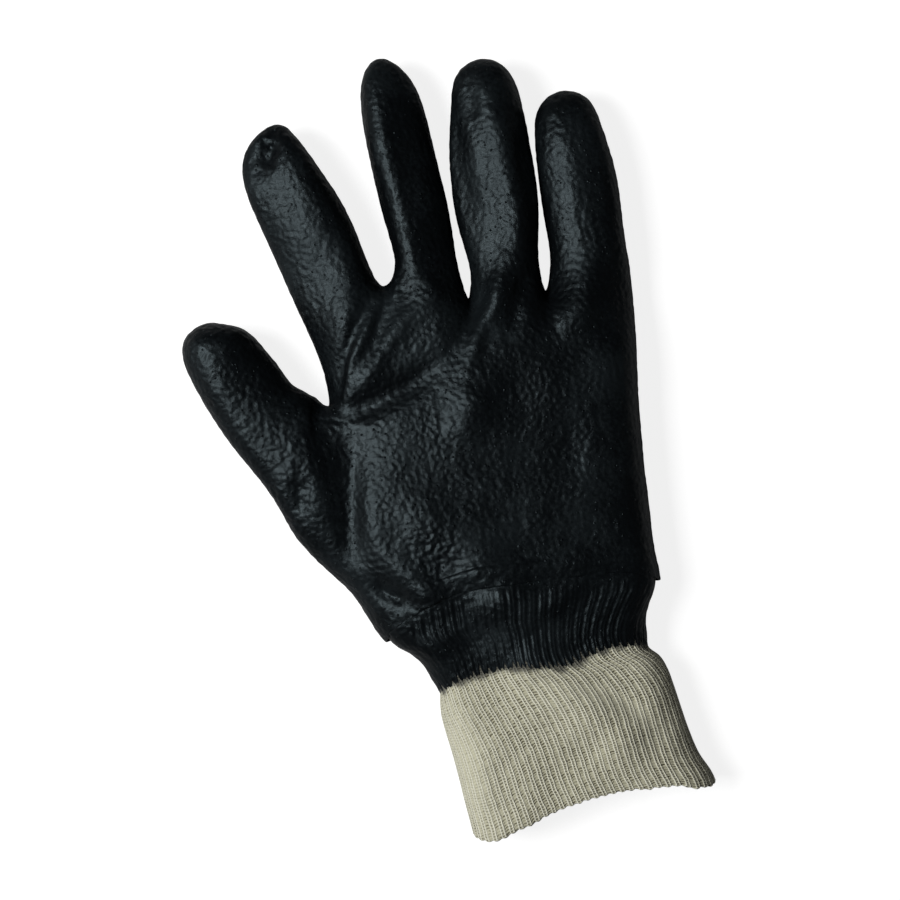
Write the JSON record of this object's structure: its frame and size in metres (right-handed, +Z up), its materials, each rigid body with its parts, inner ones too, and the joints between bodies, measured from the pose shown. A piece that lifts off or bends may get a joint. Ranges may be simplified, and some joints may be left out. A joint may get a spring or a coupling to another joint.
{
  "type": "pvc coated glove",
  "caption": "Left-hand work glove of black PVC-coated cloth with a cream rib-knit wrist, lying palm up, hollow and open at the cuff.",
  "frame": {"origin": "middle of the glove's box in plan, on the surface that it lies on", "axes": "+X from the thumb's side to the little finger's, +Y from the wrist to the fingertips, +Z up out of the palm"},
  "size_m": [0.1661, 0.2826, 0.0324],
  "materials": {
    "hand_coating": "semi-gloss rough PVC coating, near black",
    "wrist_coating": "semi-gloss PVC coating over ribs, near black",
    "wrist_knit": "undyed cream cotton rib knit"
  },
  "bodies": {
    "root": {"coated_hand": "hand_coating", "coated_wrist": "wrist_coating", "knit_wrist": "wrist_knit"}
  },
  "joints": []
}
